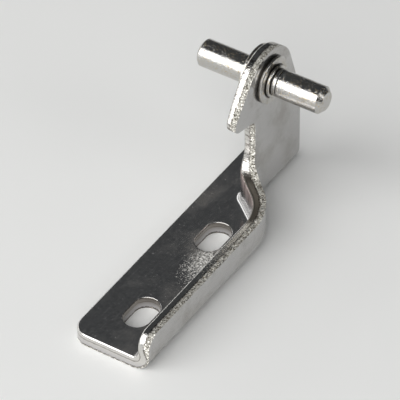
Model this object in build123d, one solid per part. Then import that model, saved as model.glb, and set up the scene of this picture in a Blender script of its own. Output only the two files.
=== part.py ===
from build123d import *
from math import acos, cos, degrees, radians, sin
import os

# Middle hinge of a two-door refrigerator: a folded and joggled sheet-steel bracket, a turned
# pin that carries one door on each side, and the washer that the pin is swaged over.
# Origin: middle of the two screw slots, on the mounting face. X runs across the base and along
# the pin, Y along the base towards the pin, Z up from the mounting face. Sizes in millimetres.

# Sheet
SHEET = 3.0
FOLD_INSIDE_R = 1.5
EDGE_ROLL_R = 0.6

# Base strip
BASE_LEFT = 10.0
BASE_RIGHT = 10.0
NEAR_MARGIN = 12.4
NEAR_CORNER_R = 4.0
FAR_CORNER_R = 2.0

# Screw slots
SLOT_PITCH = 28.0
SLOT_WIDTH = 6.0
SLOT_LENGTH = 9.6
SLOT_ROLL_R = 0.3

# Flange along the right edge, and the joggle that brings it in to the arm
FLANGE_HEIGHT = 9.5
FLANGE_CORNER_R = 3.5
JOGGLE_OFFSET = 9.0
JOGGLE_ANGLE = 51.0
JOGGLE_FIRST_R = 8.4
JOGGLE_SECOND_R = 0.8
RAMP_RISE = 2.3
RAMP_R = 8.0

# Arm, head and stop nose, measured from the pin axis
PIN_ALONG = 35.1
PIN_HEIGHT = 32.8
ARM_NEAR = 5.95
ARM_FAR = 12.3
ARM_FOOT_R = 5.0
SHOULDER_DROP = 11.6
SHOULDER_R = 5.0
HEAD_R = 9.0
HEAD_BACK = 0.55
HEAD_DROP = 1.4
NOSE_REACH = 11.9
NOSE_DROP = 4.3
NOSE_R = 2.0
NOSE_ROOT_DROP = 7.7
NOSE_ROOT_R = 2.0
NOSE_DROOP = 0.6

# Pin
PIN_R = 3.15
PIN_STICKS_OUT = 14.0
PIN_CHAMFER_LEFT = 0.5
PIN_CHAMFER_RIGHT = 1.0
COLLAR_R = 5.5
COLLAR_THICKNESS = 0.95
HUB_R = 3.7
HUB_LENGTH = 0.85
NECK_WIDTH = 0.3
NECK_DEPTH = 0.2
GROOVE_FROM_COLLAR = 2.05
GROOVE_WIDTH = 0.3
GROOVE_DEPTH = 0.12
SWAGE_HEIGHT = 0.3
SWAGE_LENGTH = 0.5

# Washer under the swage
WASHER_R = 6.8
WASHER_THICKNESS = 1.0
RIM_CHAMFER = 0.15

# Fits
PIN_CLEARANCE = 0.02
TOUCHING = 0.001

# Places that follow from the sizes above
FOLD_OUTSIDE_R = FOLD_INSIDE_R + SHEET
NEAR_Y = -SLOT_PITCH / 2 - NEAR_MARGIN
FAR_Y = PIN_ALONG + ARM_FAR
ARM_Y = PIN_ALONG - ARM_NEAR
ARM_OUT_X = BASE_RIGHT - JOGGLE_OFFSET
ARM_IN_X = ARM_OUT_X - SHEET
JOGGLE_BENDS = JOGGLE_FIRST_R + JOGGLE_SECOND_R + SHEET
JOGGLE_TURN = radians(JOGGLE_ANGLE)
JOGGLE_SLANT = (JOGGLE_OFFSET - JOGGLE_BENDS * (1 - cos(JOGGLE_TURN))) / sin(JOGGLE_TURN)
JOGGLE_Y = ARM_Y - JOGGLE_BENDS * sin(JOGGLE_TURN) - JOGGLE_SLANT * cos(JOGGLE_TURN)


def outer_tangent(centre_a, radius_a, centre_b, radius_b, side):
    """Touching points of the outer tangent of two circles; side is +1 left, -1 right of a to b."""
    along = centre_b - centre_a
    lean = degrees(acos((radius_a - radius_b) / along.length))
    normal = along.normalized().rotate(Axis.Z, side * lean)
    return centre_a + normal * radius_a, centre_b + normal * radius_b


def wall_line(outward):
    """Plan line of the flange, joggle and arm, set outward from their inner face."""
    first_r = JOGGLE_FIRST_R + outward
    second_r = JOGGLE_SECOND_R + SHEET - outward
    x = BASE_RIGHT - SHEET + outward
    flange = Line((x, NEAR_Y), (x, JOGGLE_Y))
    first = JernArc(flange @ 1, flange % 1, first_r, JOGGLE_ANGLE)
    middle = Line(first @ 1, (first @ 1) + (first % 1) * JOGGLE_SLANT)
    second = JernArc(middle @ 1, middle % 1, second_r, -JOGGLE_ANGLE)
    arm = Line(second @ 1, ((second @ 1).X, FAR_Y))
    return Curve() + [flange, first, middle, second, arm]


def wall_outline():
    """Side outline of the flange, arm, head and nose, as Y and Z."""
    pin = Vector(PIN_ALONG, PIN_HEIGHT)
    head = pin - Vector(HEAD_BACK, HEAD_DROP)
    tip = pin + Vector(-NOSE_REACH, -NOSE_DROP)
    shoulder = pin + Vector(ARM_FAR, -SHOULDER_DROP)
    head_top, tip_top = outer_tangent(head, HEAD_R, tip, NOSE_R, -1)
    head_far, _ = outer_tangent(head, HEAD_R, shoulder, 0, 1)
    nose_root = Vector(ARM_Y, PIN_HEIGHT - NOSE_ROOT_DROP)
    tip_low, _ = outer_tangent(tip, NOSE_R, nose_root, 0, -1)
    flange_top = Vector(NEAR_Y, FLANGE_HEIGHT)
    ramp_low = Vector(JOGGLE_Y, FLANGE_HEIGHT)
    arm_foot = Vector(ARM_Y, FLANGE_HEIGHT + RAMP_RISE)
    rim = Line((NEAR_Y, 0), flange_top)
    rim += Line(flange_top, ramp_low)
    rim += Line(ramp_low, arm_foot)
    rim += Line(arm_foot, nose_root)
    rim += Line(nose_root, tip_low)
    rim += ThreePointArc(tip_low, tip + (tip - pin).normalized() * NOSE_R, tip_top)
    rim += Line(tip_top, head_top)
    over = ((head_top + head_far) * 0.5 - head).normalized()
    rim += ThreePointArc(head_top, head + over * HEAD_R, head_far)
    rim += Line(head_far, shoulder)
    rim += Line(shoulder, (FAR_Y, 0))
    rim += Line((FAR_Y, 0), (NEAR_Y, 0))
    outline = make_face(rim)

    def corner(place):
        return outline.vertices().sort_by_distance((place.X, place.Y))[0]

    outline = fillet(corner(flange_top), FLANGE_CORNER_R)
    outline = fillet(corner(ramp_low), RAMP_R)
    outline = fillet(corner(arm_foot), ARM_FOOT_R)
    outline = fillet(corner(nose_root), NOSE_ROOT_R)
    return fillet(corner(shoulder), SHOULDER_R)


def on_line(solid, line, height):
    """Edges of the solid that lie along a plan line at one height."""
    raised = line.moved(Location((0, 0, height)))
    return solid.edges().filter_by(lambda edge: raised.distance_to(edge @ 0.5) < TOUCHING)


def nose_droop():
    """Sliver that the blanking pulls off the left face of the narrow nose, from its root to its tip."""
    start = Vector(ARM_IN_X, ARM_Y - NOSE_ROOT_R)
    end = Vector(ARM_IN_X + NOSE_DROOP, PIN_ALONG - NOSE_REACH - NOSE_R)
    back = end - Vector(SHEET, 0)
    rim = TangentArc(start, end, tangent=(0, -1))
    rim += Line(end, back)
    rim += Line(back, (back.X, start.Y))
    rim += Line((back.X, start.Y), start)
    return Pos(0, 0, PIN_HEIGHT - NOSE_ROOT_DROP) * extrude(make_face(rim), NOSE_ROOT_DROP + HEAD_R)


def rolled_rim(solid, inner):
    """Edges where the rim of the blank meets the inside skin of the folded sheet."""
    fold_height = SHEET + FOLD_INSIDE_R

    def on_skin(face):
        point = face.position_at(0.5, 0.5)
        normal = face.normal_at(point)
        if point.Z > fold_height:
            return normal.X < -0.5
        away = inner.distance_to(Vector(point.X, point.Y, 0))
        fold = Vector(FOLD_INSIDE_R - away, fold_height - point.Z)
        return normal.Z > 0.999 or abs(fold.length - FOLD_INSIDE_R) < TOUCHING

    skin = solid.faces().filter_by(on_skin)
    rim = solid.faces().filter_by(lambda face: not on_skin(face))
    return skin.edges() & rim.edges()


def make_bracket():
    """One blanked sheet: base with slots, flange folded up, joggle, arm with head and nose."""
    inner = wall_line(0)
    outer = wall_line(SHEET)
    near_cap = Line((BASE_RIGHT - SHEET, NEAR_Y), (BASE_RIGHT, NEAR_Y))
    far_cap = Line((ARM_IN_X, FAR_Y), (ARM_OUT_X, FAR_Y))
    strip = make_face(inner + outer + near_cap + far_cap)
    wall = extrude(strip, PIN_HEIGHT + HEAD_R + SHEET)
    outline = wall_outline()
    foot_top = FLANGE_HEIGHT + RAMP_RISE + ARM_FOOT_R
    nose_low = PIN_HEIGHT - NOSE_ROOT_DROP - NOSE_ROOT_R
    below_nose = (foot_top + nose_low) / 2
    before_arm = Pos(NEAR_Y, 0) * Rectangle(ARM_Y - NEAR_Y, below_nose, align=Align.MIN)
    curved = Plane.YZ * (outline & before_arm)
    flat = Plane.YZ.offset(ARM_IN_X) * (outline - before_arm)
    wall = wall & extrude(curved, BASE_LEFT + BASE_RIGHT, both=True)
    wall += extrude(flat, SHEET)

    near_left = Vector(-BASE_LEFT, NEAR_Y)
    far_left = Vector(-BASE_LEFT, FAR_Y)
    rim = outer + Line((BASE_RIGHT, NEAR_Y), near_left)
    rim += Line(near_left, far_left)
    rim += Line(far_left, (ARM_OUT_X, FAR_Y))
    floor = make_face(rim)
    floor = fillet(floor.vertices().sort_by_distance((near_left.X, near_left.Y))[0], NEAR_CORNER_R)
    floor = fillet(floor.vertices().sort_by_distance((far_left.X, far_left.Y))[0], FAR_CORNER_R)
    bracket = wall + extrude(floor, SHEET)

    bracket = fillet(on_line(bracket, inner, SHEET), FOLD_INSIDE_R)
    bracket = fillet(on_line(bracket, outer, 0), FOLD_OUTSIDE_R)

    bracket -= nose_droop()
    bracket = fillet(rolled_rim(bracket, inner), EDGE_ROLL_R)

    slots = Sketch() + GridLocations(0, SLOT_PITCH, 1, 2) * SlotOverall(SLOT_LENGTH, SLOT_WIDTH, rotation=90)
    bracket -= extrude(slots, SHEET)
    bracket = fillet(on_line(bracket, slots, SHEET), SLOT_ROLL_R)

    pin_hole = Cylinder(PIN_R + PIN_CLEARANCE, 2 * (BASE_LEFT + BASE_RIGHT), rotation=(0, 90, 0))
    bracket -= Pos(0, PIN_ALONG, PIN_HEIGHT) * pin_hole
    return bracket


def make_pin():
    """Turned pin with its collar and hub against the right face of the head, drawn as X and radius."""
    left = ARM_IN_X - PIN_STICKS_OUT
    right = ARM_OUT_X + PIN_STICKS_OUT
    swage = ARM_IN_X - WASHER_THICKNESS
    collar = ARM_OUT_X + COLLAR_THICKNESS
    hub = collar + HUB_LENGTH
    groove = collar + GROOVE_FROM_COLLAR
    half = Polyline(
        (left, 0),
        (left, PIN_R - PIN_CHAMFER_LEFT),
        (left + PIN_CHAMFER_LEFT, PIN_R),
        (swage - SWAGE_LENGTH, PIN_R),
        (swage, PIN_R + SWAGE_HEIGHT),
        (swage, PIN_R),
        (ARM_OUT_X, PIN_R),
        (ARM_OUT_X, COLLAR_R),
        (collar - RIM_CHAMFER, COLLAR_R),
        (collar, COLLAR_R - RIM_CHAMFER),
        (collar, HUB_R),
        (hub - RIM_CHAMFER, HUB_R),
        (hub, HUB_R - RIM_CHAMFER),
        (hub, PIN_R - NECK_DEPTH),
        (hub + NECK_WIDTH, PIN_R - NECK_DEPTH),
        (hub + NECK_WIDTH, PIN_R),
        (groove - GROOVE_WIDTH / 2, PIN_R),
        (groove, PIN_R - GROOVE_DEPTH),
        (groove + GROOVE_WIDTH / 2, PIN_R),
        (right - PIN_CHAMFER_RIGHT, PIN_R),
        (right, PIN_R - PIN_CHAMFER_RIGHT),
        (right, 0),
        close=True,
    )
    turned = revolve(make_face(half), Axis.X)
    return Pos(0, PIN_ALONG, PIN_HEIGHT) * turned


def make_washer():
    """Flat washer on the pin against the left face of the head, drawn as X and radius."""
    left = ARM_IN_X - WASHER_THICKNESS
    half = Polyline(
        (left, PIN_R + PIN_CLEARANCE),
        (left, WASHER_R - RIM_CHAMFER),
        (left + RIM_CHAMFER, WASHER_R),
        (ARM_IN_X, WASHER_R),
        (ARM_IN_X, PIN_R + PIN_CLEARANCE),
        close=True,
    )
    turned = revolve(make_face(half), Axis.X)
    return Pos(0, PIN_ALONG, PIN_HEIGHT) * turned


os.makedirs("parts", exist_ok=True)
export_step(make_bracket(), "parts/bracket.step")
export_step(make_pin(), "parts/pin.step")
export_step(make_washer(), "parts/washer.step")
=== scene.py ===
"""Looks of a plated refrigerator door hinge: folded bracket, turned pivot pin and swaged washer."""

import logging
import math
from dataclasses import dataclass, field
from enum import Enum

import bmesh
import bpy
from mathutils import Matrix, Vector


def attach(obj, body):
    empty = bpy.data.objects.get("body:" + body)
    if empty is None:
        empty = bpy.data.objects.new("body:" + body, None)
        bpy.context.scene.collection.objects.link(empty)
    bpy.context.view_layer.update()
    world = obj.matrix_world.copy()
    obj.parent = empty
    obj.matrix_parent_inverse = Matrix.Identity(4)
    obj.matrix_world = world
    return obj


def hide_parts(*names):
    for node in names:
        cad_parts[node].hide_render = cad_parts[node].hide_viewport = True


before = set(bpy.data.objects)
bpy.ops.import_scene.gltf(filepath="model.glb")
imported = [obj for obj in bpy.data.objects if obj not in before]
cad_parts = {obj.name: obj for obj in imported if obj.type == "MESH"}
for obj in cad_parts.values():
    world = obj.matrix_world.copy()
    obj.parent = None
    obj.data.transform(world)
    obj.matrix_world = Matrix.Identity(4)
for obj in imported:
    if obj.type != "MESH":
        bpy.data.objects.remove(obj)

LOG = logging.getLogger("door_hinge")
MM = 0.001
MERGE_M = 1e-7

Band = tuple[float, float]
Triple = tuple[float, float, float]
Tree = bpy.types.NodeTree
Socket = bpy.types.NodeSocket

# Node settings that the finishes share.
SMOOTH = {"interpolation_type": "SMOOTHSTEP"}
BLEND = {"data_type": "RGBA"}
FLAT = {"noise_dimensions": "2D"}
POINT = {"vector_type": "POINT"}
MINUS = {"operation": "SUBTRACT"}
TIMES = {"operation": "MULTIPLY"}
TIMES_PLUS = {"operation": "MULTIPLY_ADD"}
LARGER = {"operation": "MAXIMUM"}
LENGTH = {"operation": "LENGTH"}

# Sockets of a colour Mix node, by their place.
SHARE, UNDER, OVER = 0, 6, 7
MIXED = 2


def linear(code: str) -> tuple[float, float, float, float]:
    """Turns an sRGB hex value into a linear colour.

    Args:
        code: Six hex digits with a leading hash.

    Returns:
        Linear red, green, blue and an alpha of one.
    """
    shares = [int(code[i:i + 2], 16) / 255 for i in (1, 3, 5)]
    red, green, blue = [s / 12.92 if s <= 0.04045 else ((s + 0.055) / 1.055) ** 2.4 for s in shares]
    return red, green, blue, 1.0


def span(band: Band) -> dict[str, float]:
    """Names the two ends of a band as the input range of a Map Range node."""
    return {"From Min": band[0], "From Max": band[1]}


def add_node(tree: Tree, kind: str, settings: dict | None = None,
             values: dict | None = None, links: dict | None = None) -> bpy.types.Node:
    """Adds one node with its settings, fixed inputs and links.

    Args:
        tree: Node tree that takes the node.
        kind: Blender's name of the node type.
        settings: Properties of the node itself.
        values: Fixed input values by input name or place.
        links: Output sockets by the input name or place they feed.

    Returns:
        The new node.
    """
    node = tree.nodes.new(kind)
    for name, value in (settings or {}).items():
        setattr(node, name, value)
    for name, value in (values or {}).items():
        node.inputs[name].default_value = value
    for name, socket in (links or {}).items():
        tree.links.new(socket, node.inputs[name])
    return node


def new_tree(name: str) -> tuple[bpy.types.Material, Tree]:
    """Starts an empty node material.

    Args:
        name: Name of the finish.

    Returns:
        The material and its node tree.
    """
    material = bpy.data.materials.new(name)
    material.use_nodes = True
    material.node_tree.nodes.clear()
    return material, material.node_tree


def place_mm(tree: Tree) -> Socket:
    """Gives the place on the piece in millimetres.

    Args:
        tree: Node tree of the finish.

    Returns:
        Socket with the Object coordinates in millimetres.
    """
    place = add_node(tree, "ShaderNodeTexCoord").outputs["Object"]
    return add_node(tree, "ShaderNodeVectorMath", {"operation": "SCALE"}, {"Scale": 1 / MM},
                    {0: place}).outputs[0]


def tilt_grains(tree: Tree, normal: Socket, grains: Socket, where: Socket, tilt: float) -> Socket:
    """Tips the normal of each grain its own way.

    Args:
        tree: Node tree of the finish.
        normal: Normal before the tilt.
        grains: Random colour of each grain.
        where: Mask of the grains.
        tilt: Strength of the tilt under a full mask.

    Returns:
        Socket with the tipped normal.
    """
    turn = add_node(tree, "ShaderNodeVectorMath", MINUS, {1: (0.5, 0.5, 0.5)}, {0: grains}).outputs[0]
    amount = add_node(tree, "ShaderNodeMath", TIMES, {1: tilt}, {0: where}).outputs[0]
    lean = add_node(tree, "ShaderNodeVectorMath", {"operation": "SCALE"},
                    links={0: turn, "Scale": amount}).outputs[0]
    tipped = add_node(tree, "ShaderNodeVectorMath", {"operation": "ADD"},
                      links={0: normal, 1: lean}).outputs[0]
    return add_node(tree, "ShaderNodeVectorMath", {"operation": "NORMALIZE"}, links={0: tipped}).outputs[0]


def end_finish(tree: Tree, looks: dict[str, Socket], fixed: dict[str, float] | None = None) -> None:
    """Ends a finish with its shader and output.

    Args:
        tree: Node tree of the finish.
        looks: Sockets by the shader input that they feed.
        fixed: Shader inputs that are the same all over.
    """
    shader = add_node(tree, "ShaderNodeBsdfPrincipled", values=fixed, links=looks)
    add_node(tree, "ShaderNodeOutputMaterial", links={"Surface": shader.outputs[0]})


class Slot(Enum):
    """Material slots of the hinge."""

    BRACKET = "bracket_plating"
    PIN = "pin_plating"
    WASHER = "washer_plating"


class Surface(Enum):
    """Kinds of surface on the bracket, by their place in its material list."""

    SKIN = 0
    RIM = 1
    SLOT = 2


@dataclass(frozen=True)
class Zone:
    """A soft ellipsoid on the part, in millimetres, at full strength inside its core's share of the reach."""

    centre: Triple
    reach: Triple
    core: float
    strength: float = 1.0

    def closeness(self, tree: Tree, mm: Socket) -> Socket:
        """Fades from nought at the edge of the zone to its strength at the core.

        Args:
            tree: Node tree of the finish.
            mm: Place on the piece in millimetres.

        Returns:
            Mask of the zone.
        """
        off = add_node(tree, "ShaderNodeVectorMath", MINUS, {1: self.centre}, {0: mm}).outputs[0]
        share = add_node(tree, "ShaderNodeVectorMath", {"operation": "DIVIDE"}, {1: self.reach},
                         {0: off}).outputs[0]
        away = add_node(tree, "ShaderNodeVectorMath", LENGTH, links={0: share}).outputs["Value"]
        return add_node(tree, "ShaderNodeMapRange", SMOOTH,
                        {**span((1.0, self.core)), "To Max": self.strength}, {"Value": away}).outputs[0]


# Bright nickel over cold-rolled steel sheet: a nearly mirror-like skin with a faint orange peel, cloudy
# stains, dust and hair scratches, a patch of pale frosted specks that the press tool left between the
# slots, and a dull, streaky, faintly pink zone where the joggle was drawn. The specks and the scratches are
# finer on the real sheet and are drawn as coarse as they need to show.
@dataclass(frozen=True)
class NickelSheet:
    """Plated skin of the sheet."""

    name: str = "bright nickel plated sheet"
    tint: str = "#C2C1C0"
    stain: str = "#AEABA7"
    drawn: str = "#CBBAB6"
    streak: str = "#74635E"
    frosting: str = "#DEDCD7"
    roughness: float = 0.12
    stain_mm: float = 9.0
    stain_band: Band = (0.46, 0.72)
    stain_rough: float = 0.15
    film: float = 0.13
    peel_mm: float = 1.6
    peel_depth_mm: float = 0.006
    peel_strength: float = 0.5
    dust_mm: float = 0.55
    dust_band: Band = (0.72, 0.80)
    dust_rough: float = 0.15
    speck: float = 0.22
    haze: float = 0.08
    scratch_mm: float = 0.30
    scratch_band: Band = (0.62, 0.74)
    scratch_turn: float = 28.0
    scratch_squeeze: float = 0.05
    scratch: float = 0.06
    frosted: tuple[Zone, ...] = (
        Zone((2.9, 5.8, 3.0), (6.2, 11.0, 3.0), 0.1),
        Zone((4.6, 10.5, 3.0), (2.0, 5.5, 3.0), 0.1, 0.8))
    frost_mm: float = 0.23
    frost_band: Band = (0.97, 1.03)
    frost_spread: float = 0.72
    frost_tilt: float = 1.6
    frost_glow: float = 0.90
    frost_rough: float = 0.10
    drawn_zone: Zone = Zone((2.5, 23.5, 11.2), (8.0, 8.5, 6.4), 0.45)
    drawn_skin: Band = (0.0, -0.3)
    drawn_rough: float = 0.26
    streak_mm: float = 0.5
    streak_band: Band = (0.52, 0.38)
    streak_squeeze: float = 0.08
    streak_depth_mm: float = 0.07

    def frost(self, tree: Tree, mm: Socket) -> tuple[Socket, Socket]:
        """Scatters frosted specks that thin out towards the edge of their patch.

        Args:
            tree: Node tree of the finish.
            mm: Place on the piece in millimetres.

        Returns:
            Mask of the specks, and the random colour of each grain.
        """
        near, *others = [zone.closeness(tree, mm) for zone in self.frosted]
        for other in others:
            near = add_node(tree, "ShaderNodeMath", LARGER, links={0: near, 1: other}).outputs[0]
        grains = add_node(tree, "ShaderNodeTexVoronoi", values={"Scale": 1 / self.frost_mm},
                          links={"Vector": mm}).outputs["Color"]
        chance = add_node(tree, "ShaderNodeMath", TIMES_PLUS, {1: self.frost_spread},
                          {0: near, 2: grains}).outputs[0]
        specks = add_node(tree, "ShaderNodeMapRange", SMOOTH, span(self.frost_band),
                          {"Value": chance}).outputs[0]
        return specks, grains

    def draw(self, tree: Tree, mm: Socket) -> tuple[Socket, Socket]:
        """Marks the inner skin where the joggle was drawn, and its upright streaks.

        Args:
            tree: Node tree of the finish.
            mm: Place on the piece in millimetres.

        Returns:
            Mask of the drawn skin, and the pattern of the streaks.
        """
        close = self.drawn_zone.closeness(tree, mm)
        past_seam = add_node(tree, "ShaderNodeAttribute", {"attribute_name": "past_seam"}).outputs["Fac"]
        inside = add_node(tree, "ShaderNodeMapRange", values=span(self.drawn_skin),
                          links={"Value": past_seam}).outputs[0]
        drawn = add_node(tree, "ShaderNodeMath", TIMES, links={0: close, 1: inside}).outputs[0]
        upright = add_node(tree, "ShaderNodeMapping", POINT, {"Scale": (1.0, 1.0, self.streak_squeeze)},
                           {0: mm}).outputs[0]
        streaks = add_node(tree, "ShaderNodeTexNoise",
                           values={"Scale": 1 / self.streak_mm, "Detail": 3.0, "Roughness": 0.65},
                           links={"Vector": upright}).outputs[0]
        return drawn, streaks

    def scratches(self, tree: Tree, mm: Socket) -> Socket:
        """Draws hair scratches along one slant.

        Args:
            tree: Node tree of the finish.
            mm: Place on the piece in millimetres.

        Returns:
            Mask of the scratches.
        """
        turned = (0.0, 0.0, math.radians(self.scratch_turn))
        slant = add_node(tree, "ShaderNodeMapping", POINT,
                         {"Rotation": turned, "Scale": (1.0, self.scratch_squeeze, 1.0)}, {0: mm}).outputs[0]
        rubbing = add_node(tree, "ShaderNodeTexNoise", values={"Scale": 1 / self.scratch_mm, "Detail": 1.0},
                           links={"Vector": slant}).outputs[0]
        return add_node(tree, "ShaderNodeMapRange", SMOOTH, span(self.scratch_band),
                        {"Value": rubbing}).outputs[0]

    def colour(self, tree: Tree, stained: Socket, drawn: Socket, streaks: Socket, frost: Socket) -> Socket:
        """Lays the colours of the skin over one another.

        Args:
            tree: Node tree of the finish.
            stained: Mask of the stains.
            drawn: Mask of the drawn skin.
            streaks: Pattern of the streaks.
            frost: Mask of the frosted specks.

        Returns:
            Socket with the colour.
        """
        plain = add_node(tree, "ShaderNodeMix", BLEND, {UNDER: linear(self.tint), OVER: linear(self.stain)},
                         {SHARE: stained}).outputs[MIXED]
        dark = add_node(tree, "ShaderNodeMapRange", SMOOTH, span(self.streak_band),
                        {"Value": streaks}).outputs[0]
        streaked = add_node(tree, "ShaderNodeMix", BLEND,
                            {UNDER: linear(self.drawn), OVER: linear(self.streak)},
                            {SHARE: dark}).outputs[MIXED]
        pulled = add_node(tree, "ShaderNodeMix", BLEND,
                          links={SHARE: drawn, UNDER: plain, OVER: streaked}).outputs[MIXED]
        return add_node(tree, "ShaderNodeMix", BLEND, {OVER: linear(self.frosting)},
                        {SHARE: frost, UNDER: pulled}).outputs[MIXED]

    def relief(self, tree: Tree, mm: Socket, drawn: Socket, streaks: Socket) -> Socket:
        """Raises the streaks of the drawn skin and the orange peel.

        Args:
            tree: Node tree of the finish.
            mm: Place on the piece in millimetres.
            drawn: Mask of the drawn skin.
            streaks: Pattern of the streaks.

        Returns:
            Socket with the normal.
        """
        ridges = add_node(tree, "ShaderNodeMath", TIMES, links={0: streaks, 1: drawn}).outputs[0]
        ridged = add_node(tree, "ShaderNodeBump",
                          values={"Strength": 1.0, "Distance": self.streak_depth_mm * MM},
                          links={"Height": ridges}).outputs[0]
        peel = add_node(tree, "ShaderNodeTexNoise", values={"Scale": 1 / self.peel_mm, "Detail": 2.0},
                        links={"Vector": mm}).outputs[0]
        return add_node(tree, "ShaderNodeBump",
                        values={"Strength": self.peel_strength, "Distance": self.peel_depth_mm * MM},
                        links={"Height": peel, "Normal": ridged}).outputs[0]

    def material(self) -> bpy.types.Material:
        """Builds the node material from Object coordinates and the bracket's own past_seam attribute.

        Returns:
            The finish of the skin.
        """
        material, tree = new_tree(self.name)
        mm = place_mm(tree)
        stain = add_node(tree, "ShaderNodeTexNoise",
                         values={"Scale": 1 / self.stain_mm, "Detail": 5.0, "Roughness": 0.6},
                         links={"Vector": mm}).outputs[0]
        stained = add_node(tree, "ShaderNodeMapRange", SMOOTH, span(self.stain_band),
                           {"Value": stain}).outputs[0]
        dust = add_node(tree, "ShaderNodeTexNoise", values={"Scale": 1 / self.dust_mm, "Detail": 1.0},
                        links={"Vector": mm}).outputs[0]
        dusty = add_node(tree, "ShaderNodeMapRange", SMOOTH, span(self.dust_band), {"Value": dust}).outputs[0]
        scratched = self.scratches(tree, mm)
        frost, grains = self.frost(tree, mm)
        drawn, streaks = self.draw(tree, mm)
        rough = add_node(tree, "ShaderNodeMath", TIMES_PLUS, {1: self.stain_rough, 2: self.roughness},
                         {0: stained}).outputs[0]
        for mask, gain in ((dusty, self.dust_rough), (drawn, self.drawn_rough), (frost, self.frost_rough)):
            rough = add_node(tree, "ShaderNodeMath", TIMES_PLUS, {1: gain}, {0: mask, 2: rough}).outputs[0]
        metal = add_node(tree, "ShaderNodeMath", TIMES_PLUS, {1: -self.film, 2: 1.0}, {0: stained}).outputs[0]
        films = ((dusty, self.speck), (scratched, self.scratch), (dust, self.haze), (frost, self.frost_glow))
        for mask, loss in films:
            metal = add_node(tree, "ShaderNodeMath", TIMES_PLUS, {1: -loss}, {0: mask, 2: metal}).outputs[0]
        normal = tilt_grains(tree, self.relief(tree, mm, drawn, streaks), grains, frost, self.frost_tilt)
        end_finish(tree, {"Base Color": self.colour(tree, stained, drawn, streaks, frost),
                          "Metallic": metal, "Roughness": rough, "Normal": normal})
        return material


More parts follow.
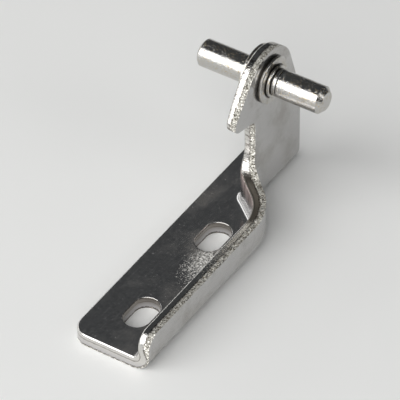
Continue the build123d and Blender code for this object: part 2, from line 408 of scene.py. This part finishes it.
# A blanked edge under thin nickel: a burnished land on the punch side, with a dark rollover line on the
# base, painted shade that darkens and cools the land towards the bottom of the base, fine dark scores across
# the arm and a rougher stretch on the joggle whose darker colour is painted shade, then a dark ragged seam
# and the break, whose tilted crystals are part matt and part glittering, with painted highlights in its pale
# grains and painted shade in its dark pits. The crystals and the scores are finer on the real edge and are
# drawn as coarse as they need to show.
@dataclass(frozen=True)
class BlankedRim:
    """Cut edge of the sheet, banded through its thickness as shares past the seam."""

    name: str = "nickel plated blanked edge"
    land: str = "#DCDAD6"
    score: str = "#77716A"
    # The dull_shade colour is painted shade that darkens the land on the joggle.
    dull_shade: str = "#7B766F"
    rollover: str = "#6F675E"
    # The lower land colour is painted shade: the land grows darker and cooler towards the bottom of the base.
    shaded_low_land: str = "#C2C0C2"
    seam: str = "#3E372E"
    # The painted_glint and pit_shade colours paint highlights into the pale grains of the break and shade
    # into its dark grains.
    painted_glint: str = "#FFFCF2"
    pit_shade: str = "#5A554A"
    sheet_mm: float = 3.0
    wander_mm: float = 0.9
    wander: float = 0.24
    break_band: Band = (-0.04, 0.04)
    seam_start: Band = (-0.10, -0.02)
    seam_end: Band = (0.09, 0.01)
    grain_mm: float = 0.40
    gap_band: Band = (0.62, 0.42)
    line_mm: float = 0.30
    line_squeeze: float = 0.4
    line_depth_mm: float = 0.03
    score_band: Band = (0.50, 0.36)
    scored_mm: Band = (9.0, 11.0)
    shaded_low_land_mm: Band = (2.6, 0.0)
    rollover_at: float = -0.52
    rollover_half: float = 0.055
    # This stretch of the land is rougher, and its darker colour is painted shade.
    dull_shade_zone: Zone = Zone((3.5, 20.5, 11.0), (8.0, 8.5, 4.5), 0.75)
    facet_mm: float = 0.23
    facet_tilt: float = 1.7
    painted_glint_band: Band = (0.28, 0.54)
    scatter: float = 0.62
    lean: float = 0.22
    land_rough: float = 0.14
    dull_rough: float = 0.30
    break_rough: float = 0.22

    def lines(self, tree: Tree, past_seam: Socket) -> Socket:
        """Draws the lines that the punch left across the land.

        Args:
            tree: Node tree of the finish.
            past_seam: Share of the thickness past the seam.

        Returns:
            Pattern of the lines.
        """
        along = add_node(tree, "ShaderNodeAttribute", {"attribute_name": "along"}).outputs["Fac"]
        across = add_node(tree, "ShaderNodeMath", TIMES, {1: self.line_squeeze}, {0: past_seam}).outputs[0]
        lines_at = add_node(tree, "ShaderNodeCombineXYZ", links={"X": along, "Y": across}).outputs[0]
        return add_node(tree, "ShaderNodeTexNoise", FLAT,
                        {"Scale": 1 / self.line_mm, "Detail": 2.0, "Roughness": 0.7},
                        {"Vector": lines_at}).outputs[0]

    def seam_mask(self, tree: Tree, mm: Socket, depth: Socket) -> Socket:
        """Draws the ragged seam between land and break.

        Args:
            tree: Node tree of the finish.
            mm: Place on the piece in millimetres.
            depth: Share of the thickness past the wandering seam.

        Returns:
            Mask of the seam.
        """
        above = add_node(tree, "ShaderNodeMapRange", SMOOTH, span(self.seam_start),
                         {"Value": depth}).outputs[0]
        below = add_node(tree, "ShaderNodeMapRange", SMOOTH, span(self.seam_end), {"Value": depth}).outputs[0]
        band = add_node(tree, "ShaderNodeMath", TIMES, links={0: above, 1: below}).outputs[0]
        grain = add_node(tree, "ShaderNodeTexNoise",
                         values={"Scale": 1 / self.grain_mm, "Detail": 3.0, "Roughness": 0.75},
                         links={"Vector": mm}).outputs[0]
        gaps = add_node(tree, "ShaderNodeMapRange", SMOOTH, span(self.gap_band), {"Value": grain}).outputs[0]
        return add_node(tree, "ShaderNodeMath", TIMES, links={0: band, 1: gaps}).outputs[0]

    def land_colour(self, tree: Tree, mm: Socket, depth: Socket, lines: Socket, dulled_and_shaded: Socket) -> Socket:
        """Colours the land: scores on the arm, a lower land darkened with painted shade and its rollover
        line, and the rougher stretch on the joggle darkened with painted shade.

        Args:
            tree: Node tree of the finish.
            mm: Place on the piece in millimetres.
            depth: Share of the thickness past the wandering seam.
            lines: Pattern of the lines across the land.
            dulled_and_shaded: Mask of the rougher stretch on the joggle, which is darkened with painted
                shade.

        Returns:
            Socket with the colour.
        """
        height = add_node(tree, "ShaderNodeSeparateXYZ", links={0: mm}).outputs["Z"]
        marks = add_node(tree, "ShaderNodeMapRange", SMOOTH, span(self.score_band),
                         {"Value": lines}).outputs[0]
        on_arm = add_node(tree, "ShaderNodeMapRange", SMOOTH, span(self.scored_mm),
                          {"Value": height}).outputs[0]
        scores = add_node(tree, "ShaderNodeMath", TIMES, links={0: marks, 1: on_arm}).outputs[0]
        low = add_node(tree, "ShaderNodeMapRange", SMOOTH, span(self.shaded_low_land_mm),
                       {"Value": height}).outputs[0]
        past_line = add_node(tree, "ShaderNodeMath", MINUS, {1: self.rollover_at}, {0: depth}).outputs[0]
        off_line = add_node(tree, "ShaderNodeMath", {"operation": "ABSOLUTE"},
                            links={0: past_line}).outputs[0]
        rolled = add_node(tree, "ShaderNodeMapRange", SMOOTH, span((self.rollover_half, 0.0)),
                          {"Value": off_line}).outputs[0]
        colour = add_node(tree, "ShaderNodeMix", BLEND, {UNDER: linear(self.land), OVER: linear(self.score)},
                          {SHARE: scores}).outputs[MIXED]
        # The lower land and the stretch on the joggle are painted shade; the rollover line is a mark of the
        # cut.
        for mask, coat in ((low, self.shaded_low_land), (rolled, self.rollover), (dulled_and_shaded, self.dull_shade)):
            colour = add_node(tree, "ShaderNodeMix", BLEND, {OVER: linear(coat)},
                              {SHARE: mask, UNDER: colour}).outputs[MIXED]
        return colour

    def relief(self, tree: Tree, past_seam: Socket, lines: Socket, broken: Socket) -> Socket:
        """Cuts the lines into the land and lets the break lean back.

        Args:
            tree: Node tree of the finish.
            past_seam: Share of the thickness past the seam.
            lines: Pattern of the lines across the land.
            broken: Mask of the break.

        Returns:
            Socket with the normal.
        """
        smooth = add_node(tree, "ShaderNodeMath", MINUS, {0: 1.0}, {1: broken}).outputs[0]
        cut = add_node(tree, "ShaderNodeMath", TIMES, {1: self.line_depth_mm}, {0: lines}).outputs[0]
        scored = add_node(tree, "ShaderNodeMath", TIMES, links={0: cut, 1: smooth}).outputs[0]
        back = add_node(tree, "ShaderNodeMath", LARGER, {1: 0.0}, {0: past_seam}).outputs[0]
        height = add_node(tree, "ShaderNodeMath", TIMES_PLUS, {1: -self.lean * self.sheet_mm},
                          {0: back, 2: scored}).outputs[0]
        return add_node(tree, "ShaderNodeBump", values={"Strength": 1.0, "Distance": MM},
                        links={"Height": height}).outputs[0]

    def material(self) -> bpy.types.Material:
        """Builds the node material from Object coordinates and the bracket's past_seam and along attributes.

        Returns:
            The finish of the cut edge.
        """
        material, tree = new_tree(self.name)
        mm = place_mm(tree)
        past_seam = add_node(tree, "ShaderNodeAttribute", {"attribute_name": "past_seam"}).outputs["Fac"]
        wander = add_node(tree, "ShaderNodeTexNoise",
                          values={"Scale": 1 / self.wander_mm, "Detail": 4.0, "Roughness": 0.75},
                          links={"Vector": mm}).outputs[0]
        shift = add_node(tree, "ShaderNodeMath", TIMES_PLUS, {1: self.wander, 2: -self.wander / 2},
                         {0: wander}).outputs[0]
        depth = add_node(tree, "ShaderNodeMath", {"operation": "ADD"},
                         links={0: past_seam, 1: shift}).outputs[0]
        broken = add_node(tree, "ShaderNodeMapRange", SMOOTH, span(self.break_band),
                          {"Value": depth}).outputs[0]
        lines = self.lines(tree, past_seam)
        dulled_and_shaded = self.dull_shade_zone.closeness(tree, mm)
        # Each grain of the break is tilted its own way; its pale and dark colours are painted highlights and
        # painted shade, which the scatter lets show under any lamp.
        facets = add_node(tree, "ShaderNodeTexVoronoi", values={"Scale": 1 / self.facet_mm},
                          links={"Vector": mm}).outputs["Color"]
        painted_glints = add_node(tree, "ShaderNodeMapRange", SMOOTH, span(self.painted_glint_band),
                          {"Value": facets}).outputs[0]
        glints_and_pit_shade = add_node(tree, "ShaderNodeMix", BLEND, {UNDER: linear(self.pit_shade), OVER: linear(self.painted_glint)},
                        {SHARE: painted_glints}).outputs[MIXED]
        land = self.land_colour(tree, mm, depth, lines, dulled_and_shaded)
        banded = add_node(tree, "ShaderNodeMix", BLEND,
                          links={SHARE: broken, UNDER: land, OVER: glints_and_pit_shade}).outputs[MIXED]
        colour = add_node(tree, "ShaderNodeMix", BLEND, {OVER: linear(self.seam)},
                          {SHARE: self.seam_mask(tree, mm, depth), UNDER: banded}).outputs[MIXED]
        land_rough = add_node(tree, "ShaderNodeMapRange",
                              values={"To Min": self.land_rough, "To Max": self.dull_rough},
                              links={"Value": dulled_and_shaded}).outputs[0]
        rough = add_node(tree, "ShaderNodeMapRange", values={"To Max": self.break_rough},
                         links={"Value": broken, "To Min": land_rough}).outputs[0]
        metal = add_node(tree, "ShaderNodeMath", TIMES_PLUS, {1: -self.scatter, 2: 1.0},
                         {0: broken}).outputs[0]
        cut = self.relief(tree, past_seam, lines, broken)
        normal = tilt_grains(tree, cut, facets, broken, self.facet_tilt)
        end_finish(tree, {"Base Color": colour, "Metallic": metal, "Roughness": rough, "Normal": normal})
        return material


# Bright nickel over turned steel: mirror bands along the pin, broken by fine lathe lines round it, a grain
# of tiny pits and pale golden flecks in the plating, with painted shade darkening the inside corners.
# The lathe lines and the grain are finer on the real pin and are drawn as coarse as they need to show.
@dataclass(frozen=True)
class NickelTurning:
    """Plated skin of a turned piece whose axis runs along X."""

    name: str
    tint: str = "#C2C1BF"
    stain: str = "#A7A39C"
    fleck: str = "#CFBE9E"
    corner_shade: str = "#2E2B27"
    roughness: float = 0.14
    axis_at: Triple = (0.0, 35.1, 32.8)
    lathe_mm: float = 0.30
    lathe_depth_mm: float = 0.012
    grain_mm: float = 0.36
    grain_depth_mm: float = 0.055
    fleck_band: Band = (0.55, 0.68)
    fleck_scatter: float = 0.28
    stain_mm: float = 4.0
    stain_band: Band = (0.48, 0.74)
    stain_rough: float = 0.14
    pit_mm: float = 0.55
    pit_band: Band = (0.10, 0.30)
    pit_depth_mm: float = 0.035
    # Each corner is its place along the axis, its radius and the reach of its painted shade.
    corners: tuple[Triple, ...] = (
        (1.0, 5.5, 0.85), (1.95, 3.7, 0.45), (2.95, 2.95, 0.35), (4.0, 3.03, 0.22), (-3.0, 3.45, 0.5))
    corner_shade_core: float = 0.3
    corner_shade_rough: float = 0.20

    def turned_place(self, tree: Tree, mm: Socket) -> Socket:
        """Gives the place along the axis and away from it.

        Args:
            tree: Node tree of the finish.
            mm: Place on the piece in millimetres.

        Returns:
            Socket with the axial place as X and the radius as Y.
        """
        from_axis = add_node(tree, "ShaderNodeVectorMath", MINUS, {1: self.axis_at}, {0: mm}).outputs[0]
        apart = add_node(tree, "ShaderNodeSeparateXYZ", links={0: from_axis}).outputs
        across = add_node(tree, "ShaderNodeCombineXYZ", links={"Y": apart["Y"], "Z": apart["Z"]}).outputs[0]
        radius = add_node(tree, "ShaderNodeVectorMath", LENGTH, links={0: across}).outputs["Value"]
        return add_node(tree, "ShaderNodeCombineXYZ", links={"X": apart["X"], "Y": radius}).outputs[0]

    def paint_corner_shade(self, tree: Tree, turned_at: Socket) -> Socket:
        """Paints shade into the corners.

        Args:
            tree: Node tree of the finish.
            turned_at: Place along the axis and away from it.

        Returns:
            Mask of the painted corner shade.
        """
        patches = []
        for x, radius, reach in self.corners:
            away = add_node(tree, "ShaderNodeVectorMath", {"operation": "DISTANCE"}, {1: (x, radius, 0.0)},
                            {0: turned_at}).outputs["Value"]
            patch = add_node(tree, "ShaderNodeMapRange", SMOOTH, span((reach, self.corner_shade_core * reach)),
                             {"Value": away}).outputs[0]
            patches.append(patch)
        shaded_corners, *others = patches
        for other in others:
            shaded_corners = add_node(tree, "ShaderNodeMath", LARGER, links={0: shaded_corners, 1: other}).outputs[0]
        return shaded_corners

    def relief(self, tree: Tree, mm: Socket, turned_at: Socket, grain: Socket) -> Socket:
        """Raises lathe lines, grain and pits over one another.

        Args:
            tree: Node tree of the finish.
            mm: Place on the piece in millimetres.
            turned_at: Place along the axis and away from it.
            grain: Pattern of the grain.

        Returns:
            Socket with the normal.
        """
        lathe = add_node(tree, "ShaderNodeTexNoise", FLAT, {"Scale": 1 / self.lathe_mm, "Detail": 2.0},
                         {"Vector": turned_at}).outputs[0]
        turned = add_node(tree, "ShaderNodeBump",
                          values={"Strength": 1.0, "Distance": self.lathe_depth_mm * MM},
                          links={"Height": lathe}).outputs[0]
        grained = add_node(tree, "ShaderNodeBump",
                           values={"Strength": 1.0, "Distance": self.grain_depth_mm * MM},
                           links={"Height": grain, "Normal": turned}).outputs[0]
        spots = add_node(tree, "ShaderNodeTexVoronoi", values={"Scale": 1 / self.pit_mm},
                         links={"Vector": mm}).outputs["Distance"]
        pits = add_node(tree, "ShaderNodeMapRange", SMOOTH, span(self.pit_band), {"Value": spots}).outputs[0]
        return add_node(tree, "ShaderNodeBump", values={"Strength": 1.0, "Distance": self.pit_depth_mm * MM},
                        links={"Height": pits, "Normal": grained}).outputs[0]

    def material(self) -> bpy.types.Material:
        """Builds the node material from Object coordinates.

        Returns:
            The finish of the turned piece.
        """
        material, tree = new_tree(self.name)
        mm = place_mm(tree)
        turned_at = self.turned_place(tree, mm)
        shaded_corners = self.paint_corner_shade(tree, turned_at)
        grain = add_node(tree, "ShaderNodeTexNoise",
                         values={"Scale": 1 / self.grain_mm, "Detail": 2.0, "Roughness": 0.6},
                         links={"Vector": mm}).outputs[0]
        flecks = add_node(tree, "ShaderNodeMapRange", SMOOTH, span(self.fleck_band),
                          {"Value": grain}).outputs[0]
        stain = add_node(tree, "ShaderNodeTexNoise",
                         values={"Scale": 1 / self.stain_mm, "Detail": 4.0, "Roughness": 0.65},
                         links={"Vector": mm}).outputs[0]
        stained = add_node(tree, "ShaderNodeMapRange", SMOOTH, span(self.stain_band),
                           {"Value": stain}).outputs[0]
        colour = add_node(tree, "ShaderNodeMix", BLEND, {UNDER: linear(self.tint), OVER: linear(self.stain)},
                          {SHARE: stained}).outputs[MIXED]
        # The corner shade is painted shade: a dark colour laid into the inside corners, which are also
        # rougher.
        for mask, coat in ((flecks, self.fleck), (shaded_corners, self.corner_shade)):
            colour = add_node(tree, "ShaderNodeMix", BLEND, {OVER: linear(coat)},
                              {SHARE: mask, UNDER: colour}).outputs[MIXED]
        clean_rough = add_node(tree, "ShaderNodeMath", TIMES_PLUS, {1: self.stain_rough, 2: self.roughness},
                               {0: stained}).outputs[0]
        rough = add_node(tree, "ShaderNodeMath", TIMES_PLUS, {1: self.corner_shade_rough},
                         {0: shaded_corners, 2: clean_rough}).outputs[0]
        metal = add_node(tree, "ShaderNodeMath", TIMES_PLUS, {1: -self.fleck_scatter, 2: 1.0},
                         {0: flecks}).outputs[0]
        end_finish(tree, {"Base Color": colour, "Metallic": metal, "Roughness": rough,
                          "Normal": self.relief(tree, mm, turned_at, grain)})
        return material


# Matt white studio sheet with a faint unevenness, pale under a plain light.
@dataclass(frozen=True)
class StudioSheet:
    """Pale floor finish."""

    name: str = "matt white studio sheet"
    tint: str = "#F4F4F2"
    shade: str = "#F0F0EE"
    mottle_mm: float = 60.0
    roughness: float = 0.9
    specular: float = 0.0

    def material(self) -> bpy.types.Material:
        """Builds the node material.

        Returns:
            The finish of the floor.
        """
        material, tree = new_tree(self.name)
        mottle = add_node(tree, "ShaderNodeTexNoise", values={"Scale": 1 / self.mottle_mm, "Detail": 2.0},
                          links={"Vector": place_mm(tree)}).outputs[0]
        colour = add_node(tree, "ShaderNodeMix", BLEND, {UNDER: linear(self.tint), OVER: linear(self.shade)},
                          {SHARE: mottle}).outputs[MIXED]
        end_finish(tree, {"Base Color": colour},
                   {"Roughness": self.roughness, "Specular IOR Level": self.specular})
        return material


def plated_copy(node: bpy.types.Object, name: str) -> bpy.types.Object:
    """Copies a frame node as one joined skin that keeps its normals.

    Args:
        node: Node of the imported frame.
        name: Name of the new piece.

    Returns:
        The new object, at the origin, with its place in its mesh.
    """
    mesh = node.data.copy()
    mesh.name = name
    mesh.materials.clear()
    corners = [tuple(corner.vector) for corner in node.data.corner_normals]
    shell = bmesh.new()
    shell.from_mesh(mesh)
    kept = shell.loops.layers.float_vector.new("kept_normal")
    for face in shell.faces:
        start = node.data.polygons[face.index].loop_start
        for step, loop in enumerate(face.loops):
            loop[kept] = corners[start + step]
    bmesh.ops.remove_doubles(shell, verts=shell.verts, dist=MERGE_M)
    shell.to_mesh(mesh)
    shell.free()
    mesh.normals_split_custom_set([tuple(item.vector) for item in mesh.attributes["kept_normal"].data])
    mesh.attributes.remove(mesh.attributes["kept_normal"])
    piece = bpy.data.objects.new(name, mesh)
    bpy.context.scene.collection.objects.link(piece)
    return piece


def seat(piece: bpy.types.Object, node: str) -> bpy.types.Object:
    """Lets a piece stand for its frame node.

    Args:
        piece: The dressed piece.
        node: Name of the frame node.

    Returns:
        The same piece.
    """
    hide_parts(node)
    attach(piece, "root")
    return piece


@dataclass
class HingeBracket:
    """Folded bracket: base, joggled wall and arm, in millimetres."""

    sheet: float = 3.0
    fold_inside_r: float = 1.5
    flange_inside_x: float = 7.0
    arm_inside_x: float = -2.0
    arm_near_y: float = 29.15
    joggle_angle: float = 51.0
    first_bend_r: float = 8.4
    second_bend_r: float = 0.8
    arm_only_z: float = 19.9
    slot_half_pitch: float = 14.0
    slot_reach: float = 5.5
    wall_seam: float = 0.55
    base_seam: float = 0.90
    skin_share: float = 0.03
    side_facing: float = 0.75
    skin: NickelSheet = field(default_factory=NickelSheet)
    rim: BlankedRim = field(default_factory=BlankedRim)
    # The slot walls are darker and duller than the outer rim: painted shade inside the slots.
    shaded_slot_wall: BlankedRim = field(default_factory=lambda: BlankedRim(
        "nickel plated punched slot wall", land="#85807A", score="#5C5751", seam="#4A453E",
        painted_glint="#A39C90", pit_shade="#57514A", scatter=0.05))

    def wall_depth(self, x: float, y: float) -> float:
        """Measures how far a plan point lies outside the inner line of the wall.

        Args:
            x: Place across the base.
            y: Place along the base.

        Returns:
            Distance outward from the inner line, zero on the inner skin.
        """
        turn = math.radians(self.joggle_angle)
        wide_r = self.second_bend_r + self.sheet
        far_x = self.arm_inside_x + wide_r
        first_x = self.flange_inside_x - self.first_bend_r
        run_out = (self.first_bend_r + wide_r) * math.cos(turn)
        slant = far_x - first_x - run_out
        first_y = self.arm_near_y - (self.first_bend_r + wide_r) * math.sin(turn) + slant / math.tan(turn)
        out = Vector((math.cos(turn), math.sin(turn)))
        from_first = Vector((x - first_x, y - first_y))
        from_second = Vector((x - far_x, y - self.arm_near_y))
        if from_first.y <= 0:
            return x - self.flange_inside_x
        if from_second.y >= 0:
            return x - self.arm_inside_x
        if math.atan2(from_first.y, from_first.x) <= turn:
            return from_first.length - self.first_bend_r
        if from_second.x * -out.y + from_second.y * out.x > 0 and from_second.x < 0:
            return wide_r - from_second.length
        return from_first.dot(out) - self.first_bend_r

    def through(self, x: float, y: float, z: float) -> float:
        """Gives the place of a point through the sheet.

        Args:
            x: Place across the base.
            y: Place along the base.
            z: Height.

        Returns:
            Zero on the inside skin and one on the outside skin.
        """
        depth = x - self.arm_inside_x if z > self.arm_only_z else self.wall_depth(x, y)
        fold_z = self.sheet + self.fold_inside_r
        if z >= fold_z:
            return depth / self.sheet
        if depth <= -self.fold_inside_r:
            return (self.sheet - z) / self.sheet
        return (math.hypot(depth + self.fold_inside_r, fold_z - z) - self.fold_inside_r) / self.sheet

    def seam(self, z: float) -> float:
        """Gives the place through the sheet where the land ends and the break begins.

        Args:
            z: Height.

        Returns:
            Share of the thickness, deeper on the base than on the walls.
        """
        rise = (z - self.sheet) / (2 * self.fold_inside_r)
        share = min(max(rise, 0.0), 1.0)
        return self.base_seam + (self.wall_seam - self.base_seam) * share

    def build(self) -> bpy.types.Object:
        """Builds the bracket with its skin, cut rim and slot walls told apart.

        Returns:
            The bracket, with its past_seam and along attributes.
        """
        piece = plated_copy(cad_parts["bracket"], "hinge_bracket")
        mesh = piece.data
        places = [vertex.co / MM for vertex in mesh.vertices]
        depths = [self.through(place.x, place.y, place.z) for place in places]
        fold_z = self.sheet + self.fold_inside_r
        lengths = [place.x + place.y if place.z < fold_z else place.y + place.z for place in places]
        cuts = [depth - self.seam(place.z) for depth, place in zip(depths, places)]
        mesh.attributes.new("past_seam", "FLOAT", "POINT").data.foreach_set("value", cuts)
        mesh.attributes.new("along", "FLOAT", "POINT").data.foreach_set("value", lengths)
        for face in mesh.polygons:
            middle = sum(depths[i] for i in face.vertices) / len(face.vertices)
            on_arm_side = face.center.z > fold_z * MM and abs(face.normal.x) > self.side_facing
            cut = self.skin_share < middle < 1 - self.skin_share and not on_arm_side
            from_slot = math.hypot(face.center.x / MM, abs(face.center.y / MM) - self.slot_half_pitch)
            in_slot = cut and face.center.z < self.sheet * MM and from_slot < self.slot_reach
            kind = Surface.SLOT if in_slot else Surface.RIM if cut else Surface.SKIN
            face.material_index = kind.value
        return piece

    def dress(self, piece: bpy.types.Object) -> bpy.types.Object:
        """Plates the bracket, with its finishes in the order of Surface.

        Args:
            piece: The built bracket.

        Returns:
            The same piece, seated in the frame.
        """
        for finish in (self.skin, self.rim, self.shaded_slot_wall):
            piece.data.materials.append(finish.material())
        return seat(piece, "bracket")


@dataclass
class PivotPin:
    """Turned pin with its collar."""

    skin: NickelTurning = field(default_factory=lambda: NickelTurning("bright nickel plated turned pin"))

    def build(self) -> bpy.types.Object:
        """Builds the pin."""
        return plated_copy(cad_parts["pin"], "pivot_pin")

    def dress(self, piece: bpy.types.Object) -> bpy.types.Object:
        """Plates the pin and seats it in the frame."""
        piece.data.materials.append(self.skin.material())
        return seat(piece, "pin")


@dataclass
class SwagedWasher:
    """Plain washer on the left of the arm."""

    skin: NickelTurning = field(default_factory=lambda: NickelTurning(
        "bright nickel plated washer", tint="#BCBAB6", roughness=0.18, lathe_mm=0.4, grain_mm=0.4))

    def build(self) -> bpy.types.Object:
        """Builds the washer."""
        return plated_copy(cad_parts["washer"], "swaged_washer")

    def dress(self, piece: bpy.types.Object) -> bpy.types.Object:
        """Plates the washer and seats it in the frame."""
        piece.data.materials.append(self.skin.material())
        return seat(piece, "washer")


@dataclass
class Softbox:
    """A flat studio lamp between a lower and an upper edge, in metres."""

    name: str
    low: Triple
    high: Triple
    side: Triple
    width: float
    watts: float

    def build(self) -> bpy.types.Object:
        """Hangs the lamp so that it faces the part.

        Returns:
            The lamp.
        """
        low, high = Vector(self.low), Vector(self.high)
        right = Vector(self.side).normalized()
        up = (high - low).normalized()
        back = right.cross(up)
        lamp = bpy.data.lights.new(self.name, "AREA")
        lamp.shape = "RECTANGLE"
        lamp.size = self.width
        lamp.size_y = (high - low).length
        lamp.energy = self.watts
        hung = bpy.data.objects.new(self.name, lamp)
        hung.matrix_world = Matrix((right, up, back)).transposed().to_4x4()
        hung.location = (low + high) / 2
        bpy.context.scene.collection.objects.link(hung)
        return hung


@dataclass
class Studio:
    """Floor, lamps and a dim surround that is slightly cool."""

    floor_m: float = 12.0
    shade: float = 0.057
    coolness: float = 0.05
    sheet: StudioSheet = field(default_factory=StudioSheet)
    lamps: tuple[Softbox, ...] = (
        Softbox("near softbox", (-0.25, -1.60, 0.20), (-0.25, -0.75, 1.54), (1, 0, 0), 2.6, 41.0),
        Softbox("overhead softbox", (0.35, -0.75, 1.9), (0.35, -0.05, 1.9), (1, 0, 0), 1.2, 2.0),
        Softbox("left softbox", (-1.60, 0.1, 0.16), (-1.45, 0.1, 0.58), (0, -1, 0), 2.2, 5.4),
        Softbox("right softbox", (1.45, 0.0, 0.60), (1.25, 0.0, 1.00), (0, 1, 0), 0.5, 1.6))

    def build_floor(self) -> bpy.types.Object:
        """Lays the floor under the part.

        Returns:
            The floor.
        """
        mesh = bpy.data.meshes.new("studio_floor")
        sheet = bmesh.new()
        bmesh.ops.create_grid(sheet, x_segments=1, y_segments=1, size=self.floor_m)
        sheet.to_mesh(mesh)
        sheet.free()
        floor = bpy.data.objects.new("studio_floor", mesh)
        bpy.context.scene.collection.objects.link(floor)
        mesh.materials.append(self.sheet.material())
        return floor

    def build_world(self) -> bpy.types.World:
        """Sets the even dim surround.

        Returns:
            The world.
        """
        world = bpy.data.worlds.new("studio surround")
        world.use_nodes = True
        world.node_tree.nodes.clear()
        colour = (self.shade * (1 - self.coolness), self.shade, self.shade * (1 + self.coolness), 1.0)
        glow = add_node(world.node_tree, "ShaderNodeBackground", values={"Color": colour, "Strength": 1.0})
        add_node(world.node_tree, "ShaderNodeOutputWorld", links={"Surface": glow.outputs[0]})
        bpy.context.scene.world = world
        return world

    def build(self) -> None:
        """Builds the whole studio."""
        self.build_floor()
        self.build_world()
        for lamp in self.lamps:
            lamp.build()


@dataclass
class ViewCamera:
    """Camera at the viewing angle of the part, in degrees and metres."""

    azimuth: float = 33.05
    elevation: float = 41.83
    roll: float = -0.355
    target: Triple = (-0.01066, 0.02517, 0.0)
    distance: float = 0.92948
    lens_mm: float = 383.5
    sensor_mm: float = 36.0
    sight_m: float = 50.0

    def build(self) -> bpy.types.Object:
        """Sets up the camera and makes it the scene's own.

        Returns:
            The camera.
        """
        azimuth, elevation, roll = (math.radians(v) for v in (self.azimuth, self.elevation, self.roll))
        level = Vector((math.cos(azimuth), math.sin(azimuth), 0.0))
        outward = Vector((math.sin(azimuth), -math.cos(azimuth), 0.0))
        back = outward * math.cos(elevation) + Vector((0.0, 0.0, math.sin(elevation)))
        rise = back.cross(level)
        right = level * math.cos(roll) + rise * math.sin(roll)
        up = rise * math.cos(roll) - level * math.sin(roll)
        lens = bpy.data.cameras.new("view camera")
        lens.lens = self.lens_mm
        lens.sensor_width = self.sensor_mm
        lens.clip_end = self.sight_m
        camera = bpy.data.objects.new("view camera", lens)
        camera.matrix_world = Matrix((right, up, back)).transposed().to_4x4()
        camera.location = Vector(self.target) + back * self.distance
        bpy.context.scene.collection.objects.link(camera)
        bpy.context.scene.camera = camera
        return camera


def main() -> None:
    """Builds, dresses, lights and frames the hinge."""
    logging.basicConfig(level=logging.INFO, format="%(name)s: %(message)s")
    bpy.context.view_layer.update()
    for part in (HingeBracket(), PivotPin(), SwagedWasher()):
        piece = part.dress(part.build())
        LOG.info("%s: %d faces, %d finishes", piece.name, len(piece.data.polygons), len(piece.data.materials))
    Studio().build()
    ViewCamera().build()
    bpy.context.scene.view_settings.view_transform = "Standard"


if __name__ == "__main__":
    main()
